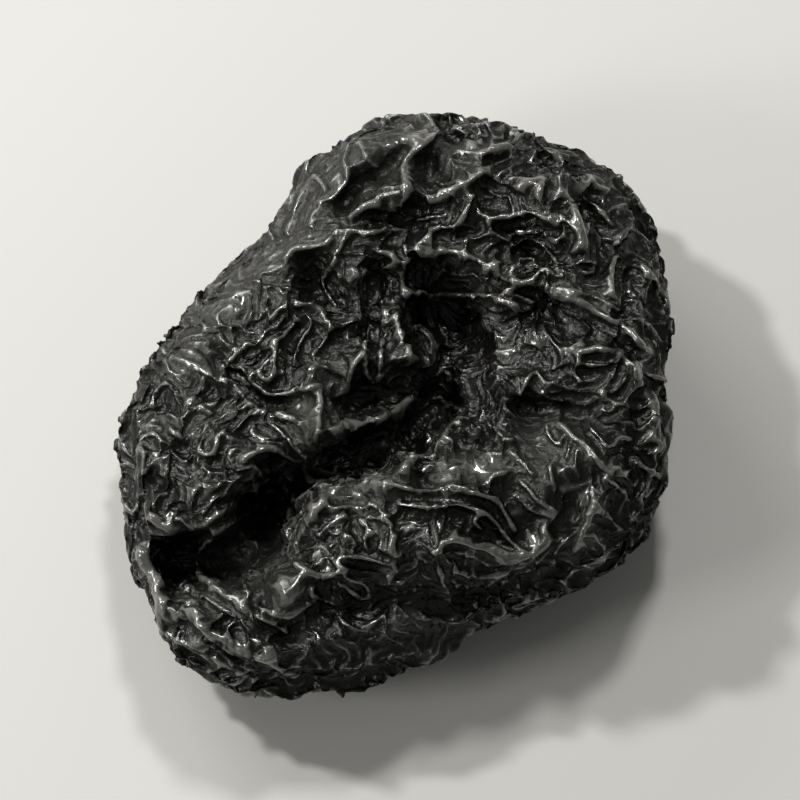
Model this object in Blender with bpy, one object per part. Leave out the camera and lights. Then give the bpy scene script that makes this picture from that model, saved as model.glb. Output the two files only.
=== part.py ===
"""Dried cherry: one stoned sweet cherry, shrunk and dried black, lying on its belly.

Run it with blender --background --python part.py. Metres, +Z up. The origin is on the surface
that the cherry lies on, under the middle of its box. Seen from above, +X is to the right and +Y
away, the stone's hole is near the middle, and the skin has split from there towards -X -Y.
"""

import math

import bmesh
import bpy
from mathutils import Vector, noise

MM = 0.001

# Plan outline: the cherry's radius every 20 degrees, anticlockwise from +X, in mm
OUTLINE_MM = (
    9.1, 9.7, 10.7, 10.6, 10.1, 9.9, 8.3, 7.7, 8.1,
    9.3, 10.2, 11.3, 11.9, 10.4, 9.0, 8.9, 9.6, 9.7,
)

# Heights every 45 degrees, anticlockwise from +X, in mm: the shoulder that the top rises to,
# and the widest line of the side wall
SHOULDER_MM = (7.3, 7.6, 7.5, 7.1, 6.7, 5.9, 6.7, 7.1)
MIDDLE_MM = sum(SHOULDER_MM) / len(SHOULDER_MM)
WIDEST_MM = (3.9, 3.8, 3.4, 3.1, 2.9, 2.7, 3.0, 3.8)

# How square the upper side is every 45 degrees: 2 is a round shoulder, 4 a sharp one
SQUARENESS = (3.4, 3.2, 2.8, 2.2, 2.8, 3.8, 3.8, 3.4)
BELLY_SQUARENESS = 2.1

BELLY_CUT_MM = 0.38
TOP_SHARE = 0.47

# The ball that is shaped has 20 x (EDGE_CUTS + 1)^2 triangles, and is then thinned to TRIANGLES,
# which leaves its edges along the folds
EDGE_CUTS = 47
TRIANGLES = 11500

# The folds of the top are drawn as strokes on a level sheet at SHEET_MM and pressed down into the
# cherry along a slope, LEAN mm towards +Y for each mm of depth. Each stroke raises or sinks a strip:
# its middle line, its half width and its height, all in mm. It fades out sideways within
# STROKE_REACH half widths, and where strokes meet they add.
SHEET_MM = 6.5
LEAN = 0.404
PRESS = Vector((0, -LEAN, 1)).normalized()
STROKE_REACH = 3
STROKES_MM = (
    ("sunken middle", ((-4.6, 0.6), (-1.6, 2.2), (1.4, 3.4)), 2.4, -0.9),
    ("hollow left by the stone", ((1.7, 1.9), (2.0, 0.6), (1.5, -0.7)), 1.35, -2.7),
    ("pocket beside the hollow", ((-0.2, -1.2), (-1.7, -1.2)), 0.75, -1.5),
    ("rough side of the hollow", ((3.0, 1.8), (3.3, 0.6), (3.5, -0.8)), 0.5, 0.5),
    ("split", ((1.3, -1.7), (0.2, -2.7), (-1.4, -3.3), (-3.2, -4.0), (-4.6, -5.0)), 0.8, -2.6),
    ("mouth of the split", ((-4.7, -6.0), (-5.8, -7.0), (-7.1, -7.1)), 1.25, -2.6),
    ("fold over the split", ((-2.2, -2.4), (-1.6, -2.0), (-0.6, -2.0), (0.3, -1.2)), 0.45, 0.85),
    ("tongue under that fold", ((-2.7, -2.7), (-1.8, -2.6)), 0.45, 0.5),
    ("wedge beside the hollow", ((-0.1, 1.8), (0.0, 1.0), (0.4, 0.2)), 0.45, 0.55),
    ("fold left of the pocket", ((-1.1, 0.9), (-1.5, 0.3), (-1.7, -0.4), (-2.2, -1.1)), 0.45, 0.5),
    ("slot above the pocket", ((-0.85, 3.4), (-0.9, 1.2)), 0.45, -0.8),
    ("foot of the slot", ((-1.0, 1.1), (-2.3, 0.9)), 0.45, -0.5),
    ("left lobe", ((-8.3, -3.4), (-7.0, -4.6), (-6.3, -2.9)), 1.5, 0.7),
    ("lip of the left lobe", ((-8.6, -5.5), (-7.7, -6.1), (-6.5, -5.6), (-4.8, -4.0)), 0.45, 0.65),
    ("notch in the left lobe", ((-9.1, -4.9), (-9.1, -6.2)), 0.45, -0.4),
    ("ridge over the split", ((-2.9, -0.7), (-2.75, -1.8), (-2.9, -2.8)), 0.6, 0.8),
    ("upper fold of the left lobe", ((-6.0, -0.3), (-5.2, -1.4), (-4.4, -1.75), (-3.6, -2.0)), 0.45, 0.4),
    ("groove over that fold", ((-5.8, 0.0), (-5.2, -0.8), (-4.3, -1.3), (-3.4, -1.1)), 0.45, -0.4),
    ("fold beside the split", ((-5.4, -3.4), (-4.7, -2.95), (-4.0, -3.0), (-3.4, -3.6)), 0.45, 0.5),
    ("lip round the mouth", ((-8.9, -6.9), (-8.5, -7.9), (-7.7, -8.8), (-6.6, -9.2)), 0.6, 0.9),
    ("roll under the lip", ((-8.2, -9.8), (-7.2, -10.1), (-5.8, -9.9), (-4.6, -10.3)), 0.5, 0.5),
    ("rib inside the mouth", ((-5.9, -5.9), (-6.9, -7.2), (-6.3, -8.0), (-5.5, -8.6)), 0.45, 0.5),
    ("pad inside the mouth", ((-4.1, -7.7), (-3.9, -8.3)), 0.75, 1.3),
    ("big lobe", ((-1.8, -6.6), (1.0, -5.3), (4.0, -4.0), (6.4, -3.4)), 1.9, 0.8),
    ("edge of the big lobe", ((-3.8, -6.2), (-1.9, -4.3), (-0.6, -4.2), (0.3, -3.7)), 0.45, 0.65),
    ("edge at the hollow", ((0.3, -3.7), (1.2, -3.1), (1.7, -2.2), (2.1, -1.7)), 0.45, 0.65),
    ("upper wave of the lobe", ((-0.2, -4.4), (0.8, -4.7), (1.8, -4.3), (3.8, -5.9)), 0.45, 0.3),
    ("lower wave of the lobe", ((1.2, -6.7), (1.7, -6.3), (3.3, -6.9), (4.2, -7.0), (5.0, -6.1)), 0.45, 0.4),
    ("long fold of the big lobe", ((5.5, -2.2), (6.3, -3.0), (7.1, -3.9)), 0.45, 0.35),
    ("end of the big lobe", ((6.6, -4.9), (6.4, -5.6), (6.2, -6.7)), 0.45, 0.5),
    ("gap under the big lobe", ((-2.4, -8.9), (0.4, -8.6), (2.6, -8.6), (6.6, -7.2)), 0.55, -0.6),
    ("roll under that gap", ((2.6, -9.4), (4.0, -9.0), (5.2, -8.5)), 0.5, 0.3),
    ("right rim", ((3.0, 7.6), (5.2, 6.6), (6.4, 4.6), (7.0, 2.2), (7.4, 0.0)), 1.2, 0.5),
    ("long ridge on the right", ((0.6, 4.3), (2.2, 4.2), (3.4, 3.4), (4.8, 3.1), (8.6, 0.5)), 0.45, 0.5),
    ("groove under that ridge", ((4.4, 2.6), (5.8, 2.0), (7.0, 1.2), (8.0, 0.3)), 0.45, -0.4),
    ("crest over the hollow", ((0.3, 2.75), (1.8, 2.75), (2.8, 2.65), (3.9, 2.3)), 0.45, 0.6),
    ("slot over that crest", ((0.4, 3.3), (1.8, 3.3), (3.0, 3.1)), 0.45, -0.6),
    ("arch on the right", ((3.0, 5.4), (3.6, 5.5), (4.3, 5.8), (5.1, 5.5), (5.6, 4.8)), 0.45, 0.4),
    ("pit under the arch", ((4.3, 4.5), (4.6, 4.3)), 0.5, -0.7),
    ("ridge on the right rim", ((5.5, 6.6), (5.9, 5.9), (6.2, 5.0), (6.4, 4.4)), 0.45, 0.55),
    ("groove outside it", ((6.3, 6.2), (6.9, 5.2), (7.2, 4.0)), 0.45, -0.5),
    ("peak on the rim", ((4.1, 6.6), (4.9, 7.1), (4.7, 6.4)), 0.45, 0.35),
    ("ridge above the hollow", ((0.9, 4.7), (1.3, 5.2), (2.1, 5.25), (2.4, 6.2)), 0.45, 0.4),
    ("ridge beside the top lobe", ((1.0, 6.3), (1.8, 6.5), (2.7, 7.2)), 0.45, 0.4),
    ("loop round the right lobe", ((6.0, 0.5), (6.9, 0.8), (7.7, 0.3), (8.6, -1.5), (8.6, -2.4)), 0.45, 0.5),
    ("cleft on the right", ((4.2, -1.7), (5.2, -1.3), (6.7, -1.6)), 0.5, -0.6),
    ("fold down the right wall", ((7.5, 7.2), (8.1, 6.5), (8.6, 5.6)), 0.45, 0.5),
    ("top lobe", ((-0.8, 8.3), (0.4, 8.9)), 1.0, 0.7),
    ("ridge under the top lobe", ((0.9, 8.4), (0.2, 7.8), (0.3, 6.4), (-0.9, 6.0), (-1.7, 5.5)), 0.45, 0.5),
    ("cleft in the top rim", ((-1.9, 6.1), (-1.4, 6.9), (-0.6, 7.2), (0.0, 8.0)), 0.45, -0.8),
    ("valley under the pad", ((-1.9, 5.3), (-0.8, 5.6), (0.3, 5.4)), 0.45, -0.55),
    ("ridge under that valley", ((-1.8, 5.0), (-0.2, 5.1), (0.2, 4.8), (0.15, 3.9)), 0.45, 0.35),
    ("cleft beside the top lobe", ((1.5, 9.4), (1.7, 8.7), (1.1, 8.0), (1.1, 7.2)), 0.45, -0.5),
    ("left rim", ((-1.6, 7.6), (-3.2, 5.8), (-4.4, 4.0), (-6.2, 2.2), (-7.4, 0.6)), 1.3, 0.5),
    ("pit in the left rim", ((-2.9, 3.8), (-2.9, 2.9), (-2.2, 2.5)), 0.45, -1.0),
    ("hole in the left rim", ((-4.0, 5.7), (-4.0, 5.1)), 0.45, -0.6),
    ("block beside the slot", ((-1.5, 3.8), (-1.5, 1.7)), 0.45, 0.4),
    ("folds inside the left rim", ((-4.3, 1.9), (-3.7, 2.4), (-2.9, 2.3), (-2.4, 1.7)), 0.45, 0.3),
    ("hook on the left lobe", ((-4.4, 1.0), (-4.4, 0.0), (-4.9, -0.1)), 0.45, 0.35),
)

# Where the skin lies calm, as lines and half widths on the same sheet
CALM_MM = (
    (((-1.4, 8.2), (-3.0, 6.4), (-5.4, 3.4), (-7.6, 0.6)), 1.5),
    (((-1.2, 7.9), (0.4, 8.8)), 0.8),
    (((-3.3, -1.7), (-3.4, -2.1)), 0.6),
    (((4.4, -2.2), (4.5, -3.8)), 0.7),
    (((1.6, -3.5), (3.6, -3.6)), 0.5),
    (((-4.1, -7.7), (-3.9, -8.3)), 0.8),
)

# The rest of the skin's folds are the contour lines of a noise field, so they run side by side
# and turn together. On the side wall the field is drawn out, and they follow the wall round.
FIELD_SIZE_MM = 5.2
FOLDS_PER_FIELD = 4.6
FOLD_SPACING_MM = 1.6
FOLD_HEIGHT_MM = 0.8
TOP_FOLD_SHARE = 0.7
FOLD_MEAN = 0.34
CREST_ROUNDING = 0.12
WANDER_SIZE_MM = 2.6
WANDER_MM = 0.5
WANDER_SPOTS = (Vector((9.3, -1.5, -8.0)), Vector((0.0, 0.0, 0.0)), Vector((6.3, 0.2, -2.7)))
WALL_RING_MM = 3.6
WALL_SQUEEZE = 1.5
WALL_FIELD_MM = 50.0

# How far the surface has to face the sheet for strokes to fade in, and to be top and not wall
STROKE_FADE = (0.1, 0.6)
WALL_FADE = (0.35, 0.85)

# The belly's folds fade out towards the flat spot that the cherry rests on
REST_FADE_MM = (1.6, 4.2)

SKIN_COLOUR = (0.012, 0.011, 0.010, 1.0)
SKIN_ROUGHNESS = 0.4


def around(table, angle):
    """The smooth closed curve through evenly spaced values, at an angle in radians."""
    count = len(table)
    place = (angle / math.tau) % 1.0 * count
    i = int(place)
    t = place - i
    a, b, c, d = (table[(i + k) % count] for k in (-1, 0, 1, 2))
    return b + 0.5 * t * (c - a + t * (2 * a - 5 * b + 4 * c - d + t * (3 * (b - c) + d - a)))


def smooth_step(low, high, value):
    t = min(1.0, max(0.0, (value - low) / (high - low)))
    return t * t * (3 - 2 * t)


def section(share, squareness):
    """(distance out, height) on a quarter of a squared ellipse, from its pole to its widest."""
    angle = share * math.pi / 2
    out = math.sin(angle)
    up = math.cos(angle)
    size = (abs(out) ** squareness + abs(up) ** squareness) ** (-1 / squareness)
    return out * size, up * size


def pillow(direction):
    """The plump, unwrinkled cherry in mm: a sphere's direction squared off to the outline."""
    angle = math.atan2(direction.y, direction.x)
    fall = math.acos(max(-1.0, min(1.0, direction.z))) / math.pi
    reach = around(OUTLINE_MM, angle)
    shoulder = around(SHOULDER_MM, angle)
    widest = around(WIDEST_MM, angle)
    if fall < TOP_SHARE:
        out, up = section(fall / TOP_SHARE, around(SQUARENESS, angle))
        top = MIDDLE_MM + (shoulder - MIDDLE_MM) * smooth_step(0, 1, out)
        height = widest + (top - widest) * up
    else:
        out, up = section((1 - fall) / (1 - TOP_SHARE), BELLY_SQUARENESS)
        height = widest - widest * up
    return Vector((reach * out * math.cos(angle), reach * out * math.sin(angle), height))


def on_sheet(point):
    """Where a point lies on the sheet that the strokes are drawn on, in mm."""
    return point.x, point.y - LEAN * (SHEET_MM - point.z)


def distance_to_line(x, y, line):
    """Distance on the sheet from a point to a line of points, all in mm."""
    nearest = math.inf
    for (ax, ay), (bx, by) in zip(line, line[1:]):
        dx, dy = bx - ax, by - ay
        t = ((x - ax) * dx + (y - ay) * dy) / (dx * dx + dy * dy)
        t = min(1.0, max(0.0, t))
        nearest = min(nearest, math.hypot(x - ax - t * dx, y - ay - t * dy))
    return nearest


def stroke_height(x, y):
    """What all the strokes together add to the top's height there, in mm."""
    total = 0.0
    for _, line, half_width, height in STROKES_MM:
        ratio = distance_to_line(x, y, line) / half_width
        if ratio < STROKE_REACH:
            total += height * math.exp(-ratio * ratio)
    return total


def calmness(x, y):
    """1 where the skin lies calm and 0 where it folds freely."""
    return max(math.exp(-((distance_to_line(x, y, line) / reach) ** 4)) for line, reach in CALM_MM)


def fold_phase(point, wall):
    """The noise field whose whole numbers are the skin's crests."""
    wander = Vector([noise.noise(point / WANDER_SIZE_MM + spot) for spot in WANDER_SPOTS])
    point = point + wander * WANDER_MM
    ring = WALL_RING_MM / max(WALL_RING_MM, math.hypot(point.x, point.y))
    round_wall = Vector((point.x * ring, point.y * ring, point.z * WALL_SQUEEZE + WALL_FIELD_MM))
    on_top = noise.noise(point / FIELD_SIZE_MM)
    on_wall = noise.noise(round_wall / FIELD_SIZE_MM)
    return FOLDS_PER_FIELD * (on_top + (on_wall - on_top) * wall)


def fold_height(phase, slope):
    """Height in mm of the skin's folds: sharp crests, low where they crowd together."""
    room = min(1.0, 1 / (FOLD_SPACING_MM * slope)) if slope else 1.0
    crest = 1 - math.hypot(math.sin(math.pi * phase), CREST_ROUNDING)
    return FOLD_HEIGHT_MM * room * room * (crest - FOLD_MEAN)


def shaped_ball():
    """A fine ball, shaped into the wrinkled cherry, in mm."""
    bm = bmesh.new()
    bmesh.ops.create_icosphere(bm, subdivisions=1, radius=1.0)
    bmesh.ops.subdivide_edges(bm, edges=bm.edges[:], cuts=EDGE_CUTS, use_grid_fill=True)
    bmesh.ops.triangulate(bm, faces=bm.faces[:])
    for vert in bm.verts:
        vert.co = pillow(vert.co.normalized())
    bm.normal_update()

    phases = {}
    for vert in bm.verts:
        wall = 1 - smooth_step(*WALL_FADE, abs(vert.normal.z))
        phases[vert] = fold_phase(vert.co, wall)
    moves = {}
    for vert in bm.verts:
        slope = max(
            abs(phases[edge.other_vert(vert)] - phases[vert]) / edge.calc_length()
            for edge in vert.link_edges
        )
        fold = fold_height(phases[vert], slope)
        wall = 1 - smooth_step(*WALL_FADE, abs(vert.normal.z))
        facing = vert.normal.dot(PRESS)
        x, y = on_sheet(vert.co)
        if facing > 0:
            fold *= wall + (1 - wall) * TOP_FOLD_SHARE * (1 - calmness(x, y))
        else:
            fold *= smooth_step(*REST_FADE_MM, math.hypot(vert.co.x, vert.co.y))
        strokes = stroke_height(x, y) * smooth_step(*STROKE_FADE, facing)
        moves[vert] = Vector((0, -LEAN * strokes, strokes)) + vert.normal * fold
    for vert, move in moves.items():
        vert.co += move

    mesh = bpy.data.meshes.new("shaped_ball")
    bm.to_mesh(mesh)
    bm.free()
    return mesh


def thinned(mesh):
    """A copy of the mesh with TRIANGLES triangles."""
    holder = bpy.data.objects.new("holder", mesh)
    bpy.context.scene.collection.objects.link(holder)
    fewer = holder.modifiers.new("fewer", "DECIMATE")
    fewer.ratio = TRIANGLES / len(mesh.polygons)
    seen = holder.evaluated_get(bpy.context.evaluated_depsgraph_get())
    thin = bpy.data.meshes.new_from_object(seen)
    bpy.data.objects.remove(holder)
    bpy.data.meshes.remove(mesh)
    return thin


def set_down(mesh):
    """Turns mm to metres, puts the origin under the middle and cuts the belly flat on z = 0."""
    places = [vert.co for vert in mesh.vertices]
    low_x, high_x = (pick(place.x for place in places) for pick in (min, max))
    low_y, high_y = (pick(place.y for place in places) for pick in (min, max))
    floor = min(place.z for place in places) + BELLY_CUT_MM
    middle = Vector(((low_x + high_x) / 2, (low_y + high_y) / 2, floor))
    for vert in mesh.vertices:
        place = vert.co - middle
        place.z = max(0.0, place.z)
        vert.co = place * MM


def skin_material():
    material = bpy.data.materials.new("black_skin")
    material.use_nodes = True
    shader = material.node_tree.nodes["Principled BSDF"]
    shader.inputs["Base Color"].default_value = SKIN_COLOUR
    shader.inputs["Roughness"].default_value = SKIN_ROUGHNESS
    shader.inputs["Metallic"].default_value = 0.0
    return material


def main():
    for obj in list(bpy.data.objects):
        bpy.data.objects.remove(obj)
    collection = bpy.data.collections.new("dried_cherry")
    bpy.context.scene.collection.children.link(collection)
    mesh = thinned(shaped_ball())
    mesh.name = "dried_cherry"
    set_down(mesh)
    mesh.shade_smooth()
    cherry = bpy.data.objects.new("dried_cherry", mesh)
    cherry.data.materials.append(skin_material())
    collection.objects.link(cherry)


main()
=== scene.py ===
"""The looks of one dried cherry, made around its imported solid.

The cherry was stoned and dried until its skin was too large for it, so the skin has buckled into
folds and fine wrinkles. Here the solid's own form is remeshed evenly, its sharper folds are drawn
on it, and its skin is grown in area, on a soft bed of flesh, until it wrinkles in the same way.
"""

import math

import bmesh
import bpy
import numpy as np
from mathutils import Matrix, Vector, noise


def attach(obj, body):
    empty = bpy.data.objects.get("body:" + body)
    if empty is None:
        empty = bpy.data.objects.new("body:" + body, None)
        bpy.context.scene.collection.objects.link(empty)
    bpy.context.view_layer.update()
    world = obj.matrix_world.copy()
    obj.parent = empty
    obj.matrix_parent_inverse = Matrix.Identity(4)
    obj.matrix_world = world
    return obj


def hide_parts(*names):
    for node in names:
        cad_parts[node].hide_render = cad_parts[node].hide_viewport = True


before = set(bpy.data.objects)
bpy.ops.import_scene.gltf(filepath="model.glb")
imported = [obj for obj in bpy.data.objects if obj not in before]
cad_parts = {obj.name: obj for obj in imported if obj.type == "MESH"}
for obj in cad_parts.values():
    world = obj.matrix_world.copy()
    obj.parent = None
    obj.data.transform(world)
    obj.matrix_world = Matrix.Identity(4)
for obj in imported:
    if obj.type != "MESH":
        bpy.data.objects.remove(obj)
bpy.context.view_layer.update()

# The cherry's body: flesh and skin, dried together into one piece. Its form is the solid's own,
# remeshed so that every part of the skin has points enough to wrinkle, and drawn in by the
# height that the skin will gain.
MM = 0.001
MERGED_MM = 0.001
BROAD_STEP_MM = 0.26
BROAD_SMOOTHING = 3
SKIN_ROOM_MM = 0.14


def points_of(mesh):
    """The mesh's points in mm."""
    places = np.empty(len(mesh.vertices) * 3, np.float32)
    mesh.vertices.foreach_get("co", places)
    return places.reshape(-1, 3) / MM


def quads_of(mesh):
    """The numbers of the four points of each face."""
    corners = np.empty(len(mesh.polygons) * 4, np.int32)
    mesh.loops.foreach_get("vertex_index", corners)
    return corners.reshape(-1, 4)


def strays_in(quads, count):
    """The points that aren't joined to the largest piece."""
    label = np.arange(count)
    while True:
        joined = label.copy()
        np.minimum.at(joined, quads.ravel(), np.repeat(label[quads].min(1), 4))
        joined = joined[joined]
        if np.array_equal(joined, label):
            return np.flatnonzero(label != np.bincount(label).argmax())
        label = joined


def modified(mesh, modifiers):
    """A new mesh, as the given one comes out of those modifiers."""
    holder = bpy.data.objects.new("holder", mesh)
    bpy.context.scene.collection.objects.link(holder)
    for kind, settings in modifiers.items():
        modifier = holder.modifiers.new(kind, kind)
        for name, setting in settings.items():
            setattr(modifier, name, setting)
    seen = holder.evaluated_get(bpy.context.evaluated_depsgraph_get())
    made = bpy.data.meshes.new_from_object(seen)
    bpy.data.objects.remove(holder)
    return made


def evenly_remeshed(mesh, step_mm, smoothing):
    """A closed mesh rebuilt with even quads of that size and smoothed a little, with no loose bits."""
    even = {"mode": "VOXEL", "voxel_size": step_mm * MM}
    made = modified(mesh, {"REMESH": even, "SMOOTH": {"factor": 0.5, "iterations": smoothing}})
    whole = bmesh.new()
    whole.from_mesh(made)
    whole.verts.ensure_lookup_table()
    strays = [whole.verts[k] for k in strays_in(quads_of(made), len(made.vertices))]
    bmesh.ops.delete(whole, geom=strays, context="VERTS")
    whole.to_mesh(made)
    whole.free()
    return made


def set_points(mesh, places):
    """Puts the mesh's points at those places, in mm."""
    mesh.vertices.foreach_set("co", (places * MM).astype(np.float32).ravel())
    mesh.update()


def normals_at(places, quads):
    """The way straight out of the skin at each point."""
    across = places[quads[:, 2]] - places[quads[:, 0]]
    along = places[quads[:, 3]] - places[quads[:, 1]]
    outward = np.cross(across, along)
    total = np.zeros_like(places)
    for corner in range(4):
        for axis in range(3):
            total[:, axis] += np.bincount(quads[:, corner], outward[:, axis], len(places))
    return (total / np.linalg.norm(total, axis=1, keepdims=True)).astype(np.float32)


def smooth_step(low, high, values):
    """0 below low, 1 above high, and smooth between them."""
    share = np.clip((values - low) / (high - low), 0, 1)
    return share * share * (3 - 2 * share)


def field(places, size_mm, spot):
    """Smooth noise at each point, about -1 to 1, with features of that size."""
    spot = Vector(spot)
    return np.array([noise.noise(Vector(place) / size_mm + spot) for place in places], np.float32)


bare = bmesh.new()
bare.from_mesh(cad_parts["dried_cherry"].data)
bmesh.ops.remove_doubles(bare, verts=bare.verts, dist=MERGED_MM * MM)
body = bpy.data.meshes.new("body")
bare.to_mesh(body)
bare.free()

broad = evenly_remeshed(body, BROAD_STEP_MM, BROAD_SMOOTHING)
places = points_of(broad)
quads = quads_of(broad)
places = places - normals_at(places, quads) * SKIN_ROOM_MM * (places[:, 2:] > SKIN_ROOM_MM)

# The skin: a thin leathery sheet that kept its size while the flesh under it shrank. Each stretch
# of it grows, mostly across the lie of the wrinkles, and can rise easily but hardly sink.
STRETCH_STIFFNESS = 0.6
GROWTH_ALONG_LIE = 0.35
GROWING_TIME = 0.45
DRAG = 0.88
PACE = 0.1
CREST_DEPTH_MM = 0.08
CREST_PASSES = 4
DEEPEST_SHARE = 0.4
SHARPEST_MM = 0.05
BLUNTED_SHARPNESS = (0.7, 1.6)
BLUNTING_PASSES = 12
RESTING_MM = 0.3
LIE_SPOTS = ((3, 9, 5), (8, 1, 2), (4, 4, 9))


def neighbours(pairs, count):
    """For each point, its partners in the pairs, as rows padded with the point itself."""
    both = np.unique(np.concatenate([pairs, pairs[:, ::-1]]), axis=0)
    number = np.bincount(both[:, 0], minlength=count)
    first = np.concatenate([[0], np.cumsum(number)[:-1]])
    rows = np.tile(np.arange(count), (number.max(), 1))
    rows[np.arange(len(both)) - first[both[:, 0]], both[:, 0]] = both[:, 1]
    return rows, number


class Net:
    """Which points of a skin of quads are joined."""

    def __init__(self, quads, count):
        self.sides = np.concatenate([quads[:, [k, (k + 1) % 4]] for k in range(4)])
        crosses = np.concatenate([quads[:, [0, 2]], quads[:, [1, 3]]])
        self.ring, ring_count = neighbours(self.sides, count)
        self.near, _ = neighbours(np.concatenate([self.sides, crosses]), count)
        self.spare = (len(self.ring) - ring_count)[:, None].astype(np.float32)
        self.share = (1 / ring_count)[:, None].astype(np.float32)

    def sag(self, values):
        """How far each point's neighbours lie from it on average."""
        total = -self.spare * values
        for row in self.ring:
            total += values[row]
        return total * self.share - values

    def step(self, places):
        """How long the sides of the quads are on average."""
        return np.linalg.norm(places[self.sides[:, 0]] - places[self.sides[:, 1]], axis=1).mean()


def wrinkled(places, quads, net, growth, lie, bending, bed, seeds_mm, run):
    """The points after the skin has grown by its share, mostly the way that lie points, and buckled."""
    own = np.arange(len(places))
    out = normals_at(places, quads)
    springs = []
    for row in net.near:
        reach = places[row] - places
        length = np.sqrt(np.einsum("ij,ij->i", reach, reach))
        across = np.einsum("ij,ij->i", reach, lie) / np.maximum(length, 1e-6)
        turning = GROWTH_ALONG_LIE + (1 - GROWTH_ALONG_LIE) * across * across
        swell = 0.5 * (growth + growth[row]) * turning
        springs.append((row, (row != own) * np.float32(STRETCH_STIFFNESS), length, length * swell))

    moved = places + out * seeds_mm[:, None]
    speed = np.zeros_like(places)
    for step in range(run):
        grown = np.float32(min(1.0, (step + 1) / (run * GROWING_TIME)))
        pull = np.zeros_like(places)
        for row, stiffness, length, extra in springs:
            reach = moved[row] - moved
            now = np.sqrt(np.einsum("ij,ij->i", reach, reach)) + np.float32(1e-9)
            pull += reach * (stiffness * (1 - (length + extra * grown) / now))[:, None]
        shift = moved - places
        pull -= bending * net.sag(net.sag(shift))
        rise = np.einsum("ij,ij->i", shift, out)
        hold = np.where(rise < 0, bed["inward"], bed["outward"]).astype(np.float32)
        pull -= out * ((hold - bed["sideways"]) * rise)[:, None] + bed["sideways"] * shift
        speed = speed * np.float32(DRAG) + pull * np.float32(PACE)
        moved += speed
        moved[:, 2] = np.maximum(moved[:, 2], 0)
    return moved.astype(np.float32)


def with_sharp_crests(places, quads, net):
    """The skin drawn inwards, so that crests turn sharp and valleys round, and spikes blunted."""
    step = net.step(places)
    lifted = smooth_step(0, RESTING_MM, places[:, 2])
    for _ in range(CREST_PASSES):
        out = normals_at(places, quads)
        bend = -np.einsum("ij,ij->i", net.sag(places), out)
        radius = step * step / (4 * np.maximum(bend, 1e-5))
        depth = np.minimum(CREST_DEPTH_MM / CREST_PASSES, radius * DEEPEST_SHARE) * lifted
        places = places - out * depth[:, None]
    for _ in range(BLUNTING_PASSES):
        sag = net.sag(places)
        sharpness = np.linalg.norm(sag, axis=1) * 4 * SHARPEST_MM / (step * step)
        places = places + sag * (0.5 * smooth_step(*BLUNTED_SHARPNESS, sharpness) * lifted)[:, None]
    return places.astype(np.float32)


def relief(places, quads, net, passes):
    """How far each point stands out from the skin around it, in mm."""
    smooth = places
    for _ in range(passes):
        smooth = smooth + 0.5 * net.sag(smooth)
    return np.einsum("ij,ij->i", places - smooth, normals_at(places, quads))


def lie_of(places, quads, size_mm, spots):
    """The direction across the wrinkles' lie at each point, which turns slowly over the skin."""
    out = normals_at(places, quads)
    lie = np.stack([field(places, size_mm, spot) for spot in spots], 1)
    lie -= out * np.einsum("ij,ij->i", lie, out)[:, None]
    return (lie / (np.linalg.norm(lie, axis=1, keepdims=True) + 1e-6)).astype(np.float32)


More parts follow.
